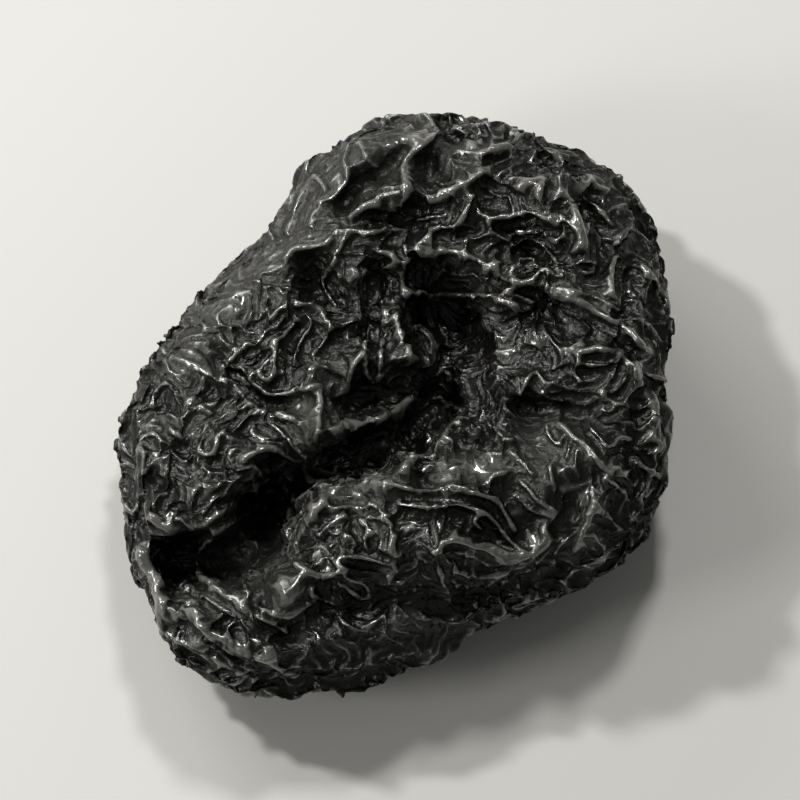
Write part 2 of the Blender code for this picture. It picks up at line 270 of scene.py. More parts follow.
# The sharper folds of the skin, drawn as lines on a level sheet that is pressed on to the cherry
# at a slant. Each has a line, a half width and a height in mm, below 0 for a groove, and the glossy
# ones are named again. Knobs are short folds, and in the calm stretches the skin stayed taut.
SHEET_ORIGIN_MM = (0.177, 0.244)
SHEET_MM = 6.356
LEAN = 0.404
FACING_FADE = (0.05, 0.35)
LINE_WIDTH_SHARE = 0.75
HIGHEST_MM = 0.42
CREST_SHAPE = 1.4
FOLD_REACH = 4
HELD_REACH = 1.8
GLOSS_REACH = 1.2
UNEVENNESS = 0.9
WAVER_MM = 0.08
WAVER_LENGTH_MM = 0.8
WAVER_SPOTS = ((1, 7, 3), (9, 2, 6), (5, 5, 1))
KNOB_LENGTH_MM = 0.05
KNOB_HEIGHT = 0.6
FOLDS_MM = (
    ("crest over the hollow", ((0.2, 2.75), (1.8, 2.75), (2.8, 2.65), (3.4, 2.5), (3.9, 2.3)), 0.16, 0.4),
    ("slot over that crest", ((0.5, 3.05), (1.8, 3.0), (3.0, 2.95)), 0.14, -0.35),
    ("wedge beside the hollow", ((-0.1, 1.9), (0.0, 1.1), (0.2, 0.6), (0.4, 0.3)), 0.2, 0.35),
    ("loop in the hollow", ((0.9, 1.2), (1.15, 0.9), (1.1, 0.4), (0.9, 0.1)), 0.14, 0.25),
    ("ridge beside the slot", ((-0.6, 2.4), (-0.5, 1.5), (-0.6, 0.8), (-0.65, 0.1)), 0.16, 0.45),
    ("hook in the pocket", ((-1.25, 0.35), (-1.15, -0.3), (-0.9, -0.5), (-0.65, -0.3)), 0.14, 0.35),
    ("crest left of the pocket", ((-1.15, 0.9), (-1.6, -0.1), (-1.8, -0.6), (-2.2, -1.1)), 0.15, 0.4),
    (
        "crest over the split",
        ((-2.2, -2.35), (-1.6, -2.0), (-0.6, -2.0), (-0.1, -1.6), (0.2, -1.2)), 0.18, 0.4,
    ),
    ("outer lip of the split", ((-3.9, -6.1), (-3.4, -5.5), (-2.8, -5.05), (-1.8, -4.1)), 0.14, 0.35),
    ("inner lip of the split", ((-3.6, -6.6), (-3.1, -5.7), (-2.6, -5.0)), 0.14, 0.3),
    ("lip at the hollow", ((0.15, -3.8), (0.6, -3.35), (1.1, -3.25), (1.7, -2.2), (2.1, -1.8)), 0.16, 0.4),
    ("second lip at the hollow", ((1.0, -2.6), (1.05, -2.2), (1.3, -1.8), (1.9, -1.45)), 0.14, 0.35),
    ("groove behind those lips", ((2.0, -2.85), (3.8, -2.95)), 0.13, -0.3),
    ("line down the plateau", ((3.7, -3.0), (4.1, -3.5), (4.5, -3.95)), 0.12, 0.25),
    (
        "upper wave",
        ((0.0, -4.35), (0.8, -4.65), (1.9, -4.3), (2.4, -4.6), (3.3, -4.9), (3.9, -5.95)), 0.14, 0.35,
    ),
    ("groove between the waves", ((0.2, -4.75), (2.4, -4.85), (3.2, -5.2), (3.5, -5.8)), 0.12, -0.25),
    (
        "lower wave",
        ((0.0, -5.05), (1.0, -5.2), (2.0, -5.0), (3.2, -5.5), (3.6, -6.2), (4.1, -6.75)), 0.14, 0.35,
    ),
    (
        "hook of the lobe",
        ((1.2, -6.75), (1.9, -6.2), (2.9, -6.65), (4.2, -7.05), (5.0, -6.3), (4.9, -5.95)), 0.16, 0.4,
    ),
    ("groove inside that hook", ((1.6, -6.6), (2.4, -6.7), (3.1, -7.15)), 0.14, -0.3),
    ("fold under that hook", ((1.9, -7.4), (2.6, -7.7), (3.6, -7.6)), 0.25, 0.3),
    ("fold down the lobe", ((4.2, -4.35), (4.7, -4.9), (5.3, -5.35)), 0.14, 0.3),
    ("second fold down the lobe", ((4.0, -4.8), (4.5, -5.3), (5.2, -5.5)), 0.14, 0.25),
    ("long fold of the lobe", ((5.4, -2.15), (6.4, -3.05), (6.8, -3.55), (7.1, -3.9)), 0.15, 0.4),
    ("end fold", ((6.55, -5.2), (6.4, -5.7), (6.15, -6.2), (5.9, -6.8)), 0.15, 0.3),
    ("inner end fold", ((6.4, -5.4), (6.65, -5.25), (7.0, -5.55)), 0.12, 0.25),
    ("fold by the end fold", ((6.6, -6.1), (6.75, -6.4), (7.0, -6.6), (7.0, -6.85)), 0.13, 0.25),
    ("short fold by the big hook", ((5.2, -7.2), (5.3, -6.7), (5.5, -6.4)), 0.13, 0.3),
    ("first short fold by the small hook", ((5.75, -2.8), (5.65, -3.3)), 0.12, 0.25),
    ("second short fold by the small hook", ((5.95, -3.1), (5.95, -3.7)), 0.12, 0.25),
    ("short fold at the plateau's foot", ((5.05, -3.7), (5.2, -4.3)), 0.14, 0.25),
    ("upright fold on the right edge", ((8.9, -2.8), (8.95, -3.4), (8.9, -4.0)), 0.14, 0.3),
    ("small zigzag on the right", ((8.1, -4.8), (8.25, -4.55), (8.4, -4.8), (8.6, -4.55)), 0.12, 0.25),
    ("outer end fold", ((6.6, -4.95), (7.0, -5.35), (7.4, -5.95)), 0.14, 0.3),
    ("short end fold", ((6.9, -4.1), (7.3, -4.4), (7.6, -4.6)), 0.14, 0.3),
    ("fold under the lobe's end", ((5.6, -7.9), (6.2, -7.35), (6.9, -7.0)), 0.14, 0.3),
    ("fold at the lobe's start", ((-2.7, -6.2), (-2.4, -5.8), (-1.9, -5.5)), 0.14, 0.3),
    ("upper rib in the mouth", ((-5.3, -5.5), (-6.0, -5.9), (-6.5, -6.4), (-6.95, -6.9)), 0.16, 0.5),
    ("lower rib in the mouth", ((-7.0, -7.1), (-6.8, -7.7), (-6.3, -8.15), (-5.3, -8.75)), 0.14, 0.5),
    ("upright rib in the mouth", ((-5.1, -7.45), (-5.3, -7.9), (-5.2, -8.35)), 0.16, 0.4),
    ("nub in the mouth", ((-5.0, -6.55), (-4.9, -6.75)), 0.2, 0.4),
    ("inside of the mouth", ((-6.0, -7.0), (-5.1, -7.1)), 0.7, -0.5),
    ("floor of the split", ((-4.4, -5.7), (-3.6, -4.9), (-2.4, -3.9)), 0.7, 0.35),
    ("pad", ((-4.3, -7.95), (-3.6, -8.05)), 0.8, 0.12),
    ("crest beside the pad", ((-3.7, -7.05), (-3.3, -7.5), (-2.7, -7.7), (-1.85, -7.45)), 0.14, 0.4),
    ("lower edge of the pad", ((-4.7, -8.85), (-4.0, -9.15), (-3.1, -8.75), (-2.9, -8.4)), 0.13, 0.3),
    ("wedge beside the pad", ((-3.0, -8.3), (-2.3, -8.6)), 0.2, 0.3),
    ("first rib of the split", ((-5.0, -4.2), (-4.9, -4.9)), 0.13, 0.3),
    ("second rib of the split", ((-4.0, -4.3), (-3.7, -4.8), (-3.3, -5.2)), 0.12, 0.3),
    (
        "lip of the left lobe",
        ((-8.5, -5.55), (-7.4, -6.15), (-6.0, -5.35), (-5.0, -4.15), (-4.5, -3.85)), 0.18, 0.3,
    ),
    ("curl at the left edge", ((-9.5, -4.9), (-9.15, -5.5), (-9.0, -5.1), (-8.9, -4.7)), 0.14, 0.3),
    ("ring on the left lobe", ((-8.9, -2.9), (-8.7, -3.3), (-8.7, -3.9)), 0.16, 0.3),
    ("upper eyelid", ((-6.0, -0.3), (-5.0, -1.45), (-4.5, -1.75), (-3.6, -1.95)), 0.14, 0.4),
    ("groove between the eyelids", ((-5.8, -0.2), (-5.3, -0.9), (-4.8, -1.3), (-3.6, -1.25)), 0.13, -0.35),
    ("lower eyelid", ((-5.4, -0.1), (-4.7, -0.95), (-4.0, -1.05), (-2.8, -0.7)), 0.14, 0.35),
    ("edge of the smooth face", ((-2.75, -0.9), (-2.75, -1.8), (-2.85, -2.7)), 0.13, 0.3),
    ("fold under the smooth face", ((-5.3, -3.4), (-4.8, -3.0), (-4.3, -2.95), (-3.4, -3.6)), 0.15, 0.35),
    ("line under the smooth face", ((-4.3, -2.2), (-3.5, -3.0), (-3.2, -3.4)), 0.14, 0.3),
    ("hook on the left lobe", ((-4.35, 0.9), (-4.25, -0.3), (-4.6, -0.5), (-4.85, -0.1)), 0.14, 0.4),
    ("bar beside that hook", ((-3.7, 0.0), (-2.5, -0.05)), 0.12, 0.2),
    ("fold along the left rim", ((-6.0, 0.0), (-5.2, 0.9)), 0.13, 0.3),
    ("first slanting fold", ((-4.2, 1.0), (-3.8, 1.3), (-3.5, 1.8)), 0.13, 0.35),
    ("second slanting fold", ((-3.6, 0.5), (-3.3, 1.1), (-3.0, 1.7)), 0.12, 0.25),
    ("third slanting fold", ((-3.0, 0.4), (-2.6, 0.9), (-2.4, 1.5)), 0.12, 0.25),
    ("arc over the slanting folds", ((-4.4, 1.8), (-4.0, 2.3), (-2.9, 2.3), (-2.3, 1.4)), 0.13, 0.35),
    ("lip over the pit", ((-3.9, 4.05), (-3.6, 4.4), (-2.6, 4.5), (-2.4, 4.75)), 0.14, 0.4),
    ("line right of the pit", ((-1.95, 4.7), (-2.4, 3.6), (-2.8, 3.1), (-2.2, 2.3)), 0.13, 0.35),
    ("line on the left rim", ((-3.9, 5.0), (-3.5, 6.2), (-3.0, 7.1)), 0.15, 0.3),
    ("short fold on the left rim", ((-2.9, 7.1), (-2.55, 6.65)), 0.13, 0.3),
    ("winding crest", ((1.0, 8.5), (0.2, 7.8), (0.1, 7.3), (0.35, 6.6), (0.1, 6.1), (-0.3, 5.9)), 0.16, 0.45),
    ("end of the winding crest", ((-0.8, 6.05), (-1.3, 5.95), (-1.7, 5.55)), 0.17, 0.45),
    ("round pad", ((-0.55, 6.5), (-0.3, 6.6)), 0.4, 0.3),
    ("cleft in the top rim", ((-1.9, 6.1), (-1.5, 6.8), (-0.5, 7.3), (0.1, 8.05)), 0.15, -0.4),
    ("valley under the pad", ((-1.9, 5.35), (-1.0, 5.6), (0.4, 5.35)), 0.15, -0.35),
    ("ridge under that valley", ((-1.85, 5.05), (-1.0, 5.0), (-0.35, 5.15), (0.15, 4.95)), 0.14, 0.35),
    ("upright ridge", ((0.2, 4.8), (0.25, 4.2), (0.1, 3.4), (0.1, 2.7)), 0.13, 0.3),
    ("small ring", ((-0.7, 4.3), (-0.3, 4.2), (-0.1, 3.9), (-0.5, 3.75)), 0.13, 0.35),
    ("ridge beside the top lobe", ((1.0, 6.25), (1.9, 6.5), (2.4, 6.9), (2.8, 7.2)), 0.17, 0.4),
    ("fold over that ridge", ((1.2, 6.9), (1.6, 6.7), (2.0, 6.9)), 0.13, 0.3),
    ("first line at the top", ((1.7, 8.85), (2.3, 9.1), (3.0, 9.1)), 0.15, 0.35),
    ("gap at the top", ((2.0, 8.6), (2.9, 8.7)), 0.16, -0.3),
    ("second line at the top", ((2.0, 8.0), (2.7, 7.9), (3.4, 8.0)), 0.14, 0.35),
    ("groove at the top", ((2.0, 7.75), (2.8, 7.6), (3.6, 7.8)), 0.13, -0.3),
    ("cap at the top", ((3.2, 8.15), (3.7, 8.2), (4.05, 8.4), (3.9, 8.8)), 0.25, 0.4),
    ("cleft beside the top lobe", ((1.45, 9.4), (1.6, 8.95), (1.85, 8.6)), 0.14, -0.4),
    ("cleft under the top lobe", ((1.2, 8.3), (1.05, 7.8), (1.05, 7.0)), 0.14, -0.35),
    ("peak on the rim", ((4.1, 6.6), (4.95, 7.1), (4.75, 6.4)), 0.19, 0.4),
    ("dash on the rim", ((3.1, 6.75), (3.6, 6.6)), 0.14, -0.35),
    ("cut in the rim", ((4.5, 8.6), (5.0, 7.9), (5.4, 7.3)), 0.14, -0.4),
    ("ridge of the rim", ((5.55, 6.5), (5.95, 5.8), (6.25, 4.8), (6.0, 4.3)), 0.18, 0.4),
    ("groove outside the rim", ((6.2, 6.0), (6.7, 5.4), (7.1, 4.6)), 0.14, -0.3),
    ("line outside the rim", ((6.3, 6.25), (6.8, 5.95), (7.3, 5.3)), 0.13, 0.3),
    ("crown outside the rim", ((6.2, 6.6), (6.6, 7.0), (6.7, 6.7), (7.1, 6.6)), 0.2, 0.4),
    ("short fold outside the rim", ((6.6, 5.4), (6.75, 5.0), (7.1, 4.75)), 0.14, 0.35),
    ("fold down the right wall", ((7.6, 7.2), (7.95, 6.8), (8.15, 6.3), (8.4, 5.9)), 0.16, 0.35),
    ("outer arch", ((3.0, 5.4), (3.5, 5.5), (4.4, 5.8), (4.9, 5.55), (5.4, 5.3)), 0.14, 0.4),
    ("groove under the arch", ((3.3, 5.15), (4.0, 5.3), (4.6, 5.4)), 0.13, -0.35),
    ("inner arch", ((3.6, 4.75), (4.0, 5.0), (5.0, 5.0), (5.4, 4.6)), 0.13, 0.35),
    ("brow of the eye", ((4.0, 4.5), (4.3, 4.75), (4.7, 4.75), (5.1, 4.3), (5.4, 3.8)), 0.12, 0.3),
    ("eye", ((4.3, 4.4), (4.6, 4.35)), 0.2, -0.35),
    ("left of the eye", ((3.75, 4.6), (3.75, 4.1), (3.85, 3.7)), 0.13, 0.3),
    ("under the eye", ((4.1, 3.9), (4.6, 4.05), (4.7, 3.7), (4.3, 3.55), (5.2, 3.5)), 0.12, 0.25),
    ("ridge above the hollow", ((0.9, 4.75), (1.2, 5.15), (2.1, 5.25), (2.3, 5.8), (2.45, 6.3)), 0.15, 0.35),
    ("line above the hollow", ((1.0, 4.65), (1.8, 4.6), (2.5, 4.7), (3.0, 5.0)), 0.12, 0.25),
    (
        "start of the long ridge",
        ((0.7, 4.3), (1.4, 4.35), (2.1, 4.25), (3.1, 3.75), (3.4, 3.35), (3.9, 3.15)), 0.15, 0.4,
    ),
    ("long ridge", ((3.9, 3.15), (4.7, 3.1), (5.9, 2.45), (7.3, 1.7), (8.0, 1.1), (8.6, 0.5)), 0.15, 0.4),
    ("second long ridge", ((2.5, 3.5), (3.0, 3.3), (3.4, 2.9), (4.0, 2.7), (4.6, 2.4)), 0.13, 0.3),
    ("third long ridge", ((5.5, 2.9), (6.6, 2.55), (7.8, 1.9), (8.4, 1.6), (8.9, 1.0)), 0.13, 0.3),
    ("groove along the long ridge", ((5.6, 2.2), (6.5, 1.75), (7.3, 1.25), (8.2, 0.4)), 0.13, -0.3),
    ("upright fold on the right", ((7.4, 4.0), (7.2, 3.4), (7.2, 2.8), (7.5, 2.4)), 0.2, 0.3),
    ("line on the right wall", ((8.3, 3.75), (8.7, 3.3), (9.1, 2.7), (9.5, 2.0)), 0.14, 0.35),
    (
        "loop round the right lobe",
        ((6.0, 0.5), (7.1, 0.75), (8.0, -0.1), (8.6, -1.4), (8.65, -2.0)), 0.14, 0.4,
    ),
    ("inner loop", ((6.1, 0.15), (6.6, 0.1), (7.1, 0.1)), 0.13, 0.25),
    ("fold on the right wall", ((8.0, 0.1), (8.3, -0.25), (9.2, -0.5)), 0.16, 0.35),
    ("ridge by the right cleft", ((6.9, -0.9), (7.05, -1.25), (7.8, -1.5)), 0.16, 0.4),
    ("first curl on the right", ((8.1, -3.4), (8.5, -3.8), (8.85, -4.1)), 0.13, 0.3),
    ("second curl on the right", ((8.8, -2.0), (8.9, -2.6), (8.7, -3.2)), 0.13, 0.3),
    ("roll under the gap", ((2.6, -9.4), (3.4, -9.2), (4.2, -8.75), (5.1, -8.6)), 0.2, 0.3),
    ("lower roll under the gap", ((3.4, -9.4), (4.2, -9.3), (4.9, -8.9)), 0.15, 0.25),
    ("first band of the front wall", ((-6.85, -7.85), (-5.4, -8.75), (-4.6, -9.3), (-3.8, -9.7)), 0.17, 0.35),
    ("second band of the front wall", ((-7.4, -8.0), (-5.8, -9.0), (-5.0, -9.8), (-4.2, -10.7)), 0.18, 0.4),
    ("groove between those bands", ((-6.9, -8.1), (-5.5, -9.1), (-4.5, -9.9)), 0.13, -0.3),
    ("third band of the front wall", ((-6.9, -9.5), (-5.8, -10.1), (-4.7, -10.7), (-3.6, -11.3)), 0.18, 0.35),
    ("fourth band of the front wall", ((-7.8, -9.9), (-6.7, -10.5), (-4.9, -11.5)), 0.18, 0.35),
    ("groove over that band", ((-7.4, -9.4), (-6.0, -10.3), (-4.8, -11.1)), 0.13, -0.25),
    ("bump on the mouth's lip", ((-7.3, -8.6), (-6.9, -8.95)), 0.27, 0.35),
    (
        "lip round the mouth",
        ((-8.8, -6.8), (-8.45, -7.7), (-8.2, -8.4), (-8.05, -9.3), (-8.2, -10.2)), 0.22, 0.4,
    ),
    ("spur of the hollow's lip", ((0.3, -3.4), (0.5, -2.95)), 0.13, 0.3),
    ("first row of the lobe", ((-2.35, -5.3), (-1.8, -5.15), (-1.1, -5.15)), 0.14, 0.3),
    ("second row of the lobe", ((-1.0, -5.0), (-0.7, -5.25), (-0.4, -5.5), (-0.1, -5.35)), 0.13, 0.35),
    ("third row of the lobe", ((-1.0, -5.5), (-0.6, -5.6), (-0.3, -5.8)), 0.14, 0.3),
    ("fold under those rows", ((-1.35, -5.6), (-1.1, -5.85), (-1.0, -6.15)), 0.14, 0.35),
    ("first short fold of the lobe", ((-1.75, -6.25), (-1.5, -6.55)), 0.15, 0.3),
    ("second short fold of the lobe", ((-1.2, -6.25), (-1.1, -6.6)), 0.15, 0.3),
    ("third short fold of the lobe", ((-0.25, -6.2), (-0.3, -6.6), (0.05, -6.85)), 0.17, 0.35),
    ("fourth short fold of the lobe", ((-0.65, -6.6), (-0.2, -6.85)), 0.13, 0.3),
    ("level crest of the lobe", ((-2.0, -6.95), (-1.3, -6.95), (-0.8, -7.05), (-0.5, -7.2)), 0.12, 0.3),
    ("groove under that crest", ((-1.8, -7.15), (-0.5, -7.4)), 0.12, -0.3),
    ("short crest by the pad", ((-2.3, -7.0), (-1.9, -7.4)), 0.12, 0.35),
    ("upright fold of the lobe", ((-0.25, -7.15), (-0.15, -7.5), (-0.5, -7.75), (0.0, -7.9)), 0.14, 0.35),
    (
        "loop below the lobe",
        ((-1.8, -7.75), (-1.3, -7.9), (-1.0, -8.2), (-1.3, -8.6), (-1.65, -8.2)), 0.12, 0.3,
    ),
    ("fold under the hook's start", ((1.3, -7.3), (1.5, -7.9), (1.6, -8.5)), 0.2, 0.3),
    ("fold inside the waves", ((2.7, -5.4), (2.45, -5.7), (2.7, -5.95)), 0.13, 0.35),
    ("bright fold of the left lobe", ((-8.45, -5.5), (-8.1, -5.85), (-7.75, -6.15)), 0.15, 0.4),
    ("hook above the dent", ((-6.85, -3.05), (-6.6, -3.3), (-6.3, -3.1), (-6.2, -2.7)), 0.17, 0.4),
    ("edge of the dent", ((-6.9, -3.4), (-6.6, -3.85), (-6.0, -3.9)), 0.12, 0.25),
    ("dent", ((-6.3, -3.55), (-6.2, -3.6)), 0.3, -0.25),
    ("short fold over the dent", ((-6.8, -1.5), (-6.45, -1.75)), 0.13, 0.35),
    ("pit under the rim's fold", ((-6.5, -0.75), (-6.45, -0.95)), 0.2, -0.35),
    ("slot on the left lobe", ((-8.3, -1.6), (-7.8, -1.5)), 0.14, -0.3),
    ("upper slot on the left lobe", ((-8.8, -0.4), (-8.45, 0.0)), 0.16, -0.3),
    ("arc on the left lobe", ((-8.6, -1.4), (-8.4, -0.95), (-8.0, -0.6)), 0.12, 0.25),
    ("first short line on the left lobe", ((-7.8, -2.35), (-7.5, -2.6)), 0.13, 0.35),
    ("second short line on the left lobe", ((-6.05, -2.45), (-5.8, -2.7)), 0.13, 0.35),
    ("third short line on the left lobe", ((-8.9, -2.65), (-8.5, -2.5), (-8.2, -2.3)), 0.13, 0.25),
    ("fourth short line on the left lobe", ((-7.0, -4.6), (-6.8, -4.3), (-6.4, -4.4)), 0.12, 0.3),
    ("slot beside the dent", ((-7.5, -3.0), (-7.3, -3.25)), 0.14, -0.35),
    ("dark patch on the left lobe", ((-8.3, -4.3), (-7.9, -4.5)), 0.3, -0.3),
    (
        "line down the band",
        ((-1.75, 8.3), (-1.95, 7.7), (-1.75, 7.2), (-1.95, 6.7), (-2.35, 6.3)), 0.14, 0.25,
    ),
    ("edge of the top lobe", ((-0.6, 9.1), (0.0, 9.6), (0.8, 9.6), (1.3, 9.0), (1.1, 8.4)), 0.15, 0.25),
    ("fold behind the pad", ((-1.35, 8.3), (-1.0, 7.6), (-0.7, 7.4)), 0.15, 0.2),
    ("small V", ((-1.65, 3.65), (-1.4, 3.25), (-1.2, 3.6)), 0.12, 0.3),
    ("line over the ridge", ((0.1, 5.65), (0.6, 5.45), (1.1, 5.6), (1.5, 5.6)), 0.12, 0.25),
    ("line under the ridge", ((1.2, 4.0), (1.6, 3.5), (2.0, 3.45), (2.5, 3.45)), 0.12, 0.25),
    ("bright fold on the rim", ((5.6, 6.35), (5.75, 6.1), (6.0, 5.85)), 0.24, 0.4),
    ("bright end of the rim", ((6.35, 4.95), (6.3, 4.5)), 0.2, 0.4),
    ("short line at the top", ((2.7, 8.95), (2.75, 8.5)), 0.13, 0.3),
    ("facet outside the cut", ((4.7, 8.1), (5.3, 8.05), (5.7, 7.7), (5.5, 7.2)), 0.13, 0.25),
    ("ring under the rim", ((6.3, 3.9), (6.7, 3.85), (6.7, 3.5), (6.35, 3.45)), 0.12, 0.25),
    ("fold at the waves' start", ((2.95, -4.25), (3.2, -3.95), (3.55, -3.9)), 0.15, 0.35),
    ("second ridge by the right cleft", ((6.9, -1.6), (7.1, -1.75), (7.35, -1.55)), 0.12, 0.3),
    ("fold beside the long fold", ((6.45, -2.2), (6.7, -2.55), (6.95, -2.95)), 0.12, 0.3),
    ("hook beside the plateau", ((5.0, -2.2), (5.2, -2.8), (5.4, -2.85), (5.55, -2.6)), 0.12, 0.3),
    ("fold under the right lobe", ((7.2, -2.9), (7.5, -2.6), (7.85, -2.7)), 0.14, 0.3),
    ("start of the inner loop", ((6.1, 0.3), (5.9, -0.2), (6.15, -0.5)), 0.12, 0.3),
    ("edges of the small facet", ((4.05, -1.0), (4.4, -0.35), (4.65, -0.15), (4.95, -0.6)), 0.13, 0.3),
    ("cleft right of the hollow", ((4.4, -1.45), (5.5, -1.6), (6.4, -1.8)), 0.25, -0.35),
    ("line beside the plateau", ((3.05, -2.1), (3.4, -2.55), (3.8, -2.8)), 0.12, 0.25),
    ("small fold above the facet", ((5.1, -0.65), (5.4, -0.45), (5.65, -0.25)), 0.12, 0.25),
)
GLOSSY = (
    "winding crest",
    "end of the winding crest",
    "ridge beside the top lobe",
    "first line at the top",
    "second line at the top",
    "cap at the top",
    "peak on the rim",
    "crown outside the rim",
    "bright fold on the rim",
    "bright end of the rim",
    "outer arch",
    "short fold on the left rim",
    "lip over the pit",
    "hook on the left lobe",
    "hook above the dent",
    "bright fold of the left lobe",
    "edge of the smooth face",
    "crest over the split",
    "outer lip of the split",
    "lip at the hollow",
    "fold at the waves' start",
    "ridge by the right cleft",
    "long fold of the lobe",
    "crest beside the pad",
    "short crest by the pad",
    "first rib of the split",
    "bump on the mouth's lip",
    "lip round the mouth",
)
KNOBS_MM = (
    (0.25, 9.05, 0.15), (0.95, 9.0, 0.17), (0.45, 8.5, 0.2), (-0.3, 8.25, 0.17), (0.15, 7.3, 0.2),
    (-0.1, 6.8, 0.2), (-0.2, 5.95, 0.18), (-1.1, 6.0, 0.17), (-1.6, 5.65, 0.22), (-1.95, 6.75, 0.17),
    (-0.2, 5.1, 0.16), (-1.8, 4.8, 0.16), (-0.3, 4.15, 0.18), (-0.25, 3.75, 0.15), (1.15, 6.3, 0.25),
    (0.9, 4.75, 0.15), (1.4, 4.25, 0.16), (5.35, 7.8, 0.17), (5.9, 5.4, 0.17), (6.95, 4.75, 0.18),
    (3.4, 6.85, 0.18), (2.4, 8.25, 0.17), (2.7, 7.85, 0.16), (3.45, 5.5, 0.16), (8.35, 3.65, 0.18),
    (3.7, 0.6, 0.17), (4.7, 0.9, 0.2), (3.05, -0.8, 0.18), (6.15, 0.85, 0.18), (5.75, 0.7, 0.16),
    (4.8, -1.0, 0.17), (5.75, -0.8, 0.16), (7.55, -2.55, 0.2), (5.25, -3.45, 0.18), (7.25, -3.65, 0.16),
    (7.6, -3.85, 0.17), (8.3, 0.25, 0.22), (6.4, -3.3, 0.15), (5.6, -4.45, 0.14), (8.25, -2.3, 0.16),
    (-1.42, -4.42, 0.22), (-0.8, -4.3, 0.3), (-0.4, -4.4, 0.16), (0.2, -3.75, 0.18), (1.5, -3.6, 0.18),
    (2.65, -3.65, 0.17), (1.55, -4.75, 0.17), (-1.25, -5.7, 0.16), (-2.3, -5.4, 0.17), (0.3, -5.8, 0.16),
    (-2.6, -7.3, 0.2), (-1.3, -6.95, 0.15), (0.55, -6.95, 0.15), (1.8, -6.15, 0.15), (2.4, -6.85, 0.25),
    (1.55, -2.6, 0.17), (-7.1, -1.2, 0.18), (-6.45, -1.35, 0.2), (-6.6, -0.35, 0.15), (-5.85, 0.75, 0.17),
    (-8.85, -2.2, 0.2), (-8.25, -3.45, 0.2), (-9.5, -3.6, 0.15), (-7.8, -5.6, 0.3), (-6.4, -4.8, 0.18),
    (-5.55, -4.45, 0.16), (-7.4, -3.5, 0.16), (-5.35, -3.35, 0.17), (-4.6, -2.6, 0.18), (-3.5, -1.3, 0.2),
    (-4.0, 1.1, 0.17), (-4.35, 0.2, 0.15), (-7.6, -10.05, 0.24), (-6.95, -10.05, 0.2), (-8.2, -8.85, 0.22),
    (-7.8, -9.3, 0.2), (6.35, -4.7, 0.17), (7.85, -5.5, 0.15), (6.7, -6.35, 0.15), (4.45, -6.35, 0.2),
    (3.9, -5.3, 0.16), (5.9, -4.4, 0.15), (5.45, -6.4, 0.18),
)
CALM_MM = (
    (((-1.4, 8.2), (-3.0, 6.4), (-5.4, 3.4), (-7.6, 0.6)), 1.5),
    (((-1.2, 7.9), (0.4, 8.8)), 0.9),
    (((-3.3, -1.7), (-3.4, -2.1)), 0.6),
    (((4.4, -2.2), (4.5, -3.8)), 0.7),
    (((1.6, -3.5), (3.6, -3.6)), 0.5),
    (((-4.1, -7.7), (-3.9, -8.3)), 0.8),
)


def on_sheet(places):
    """Where the points lie on the sheet that the folds are drawn on, in mm."""
    x = places[:, 0] - SHEET_ORIGIN_MM[0]
    y = places[:, 1] - SHEET_ORIGIN_MM[1] - LEAN * (SHEET_MM - places[:, 2])
    return np.stack([x, y], 1)


def rounded(line):
    """The line with its corners cut off twice, so that it bends softly."""
    points = np.array(line, float)
    for _ in range(2):
        before, after = points[:-1], points[1:]
        cut = np.stack([0.75 * before + 0.25 * after, 0.25 * before + 0.75 * after], 1)
        points = np.concatenate([points[:1], cut.reshape(-1, 2), points[-1:]])
    return points


def distance_to_line(spots, line):
    """Distance on the sheet from each spot to a soft line along those points, in mm."""
    nearest = np.full(len(spots), np.inf, np.float32)
    points = rounded(line)
    for start, end in zip(points, points[1:]):
        along = end - start
        share = np.clip((spots - start) @ along / (along @ along), 0, 1)
        gap = spots - start - share[:, None] * along
        nearest = np.minimum(nearest, np.hypot(gap[:, 0], gap[:, 1]))
    return nearest


def drawn_folds(places):
    """What the drawn folds add to the skin's height, how near they are, and their gloss, 0 to 1."""
    waver = np.stack([field(places, WAVER_LENGTH_MM, spot) for spot in WAVER_SPOTS], 1)
    spots = on_sheet(places) + WAVER_MM * waver[:, :2]
    strength = 1 + UNEVENNESS * waver[:, 2]
    height_there, nearness, gloss = (np.zeros(len(spots), np.float32) for _ in range(3))
    folds = [
        (line, half_width * LINE_WIDTH_SHARE, height, name in GLOSSY)
        for name, line, half_width, height in FOLDS_MM
    ]
    knobs = [
        (((x, y), (x + KNOB_LENGTH_MM, y)), half_width, KNOB_HEIGHT * half_width, True)
        for x, y, half_width in KNOBS_MM
    ]
    for line, half_width, height, glossy in folds + knobs:
        reach = FOLD_REACH * half_width
        low = np.min(line, axis=0) - reach
        high = np.max(line, axis=0) + reach
        near = np.flatnonzero(np.all((spots > low) & (spots < high), axis=1))
        away = distance_to_line(spots[near], line) / half_width
        height_there[near] += height * strength[near] * np.exp(-(away**CREST_SHAPE))
        nearness[near] = np.maximum(nearness[near], np.exp(-((away / HELD_REACH) ** 2)))
        gloss[near] = np.maximum(gloss[near], glossy * np.exp(-((away / GLOSS_REACH) ** 4)))
    return HIGHEST_MM * np.tanh(height_there / HIGHEST_MM), nearness, gloss


def calmness(spots):
    """1 where the skin lies calm and 0 where it folds freely."""
    shares = [np.exp(-((distance_to_line(spots, line) / reach) ** 4)) for line, reach in CALM_MM]
    return np.max(shares, 0)


def facing(places, quads):
    """1 where the skin faces the sheet and 0 where it faces away."""
    out = normals_at(places, quads)
    return smooth_step(*FACING_FADE, (out[:, 2] - LEAN * out[:, 1]) / math.hypot(1, LEAN))


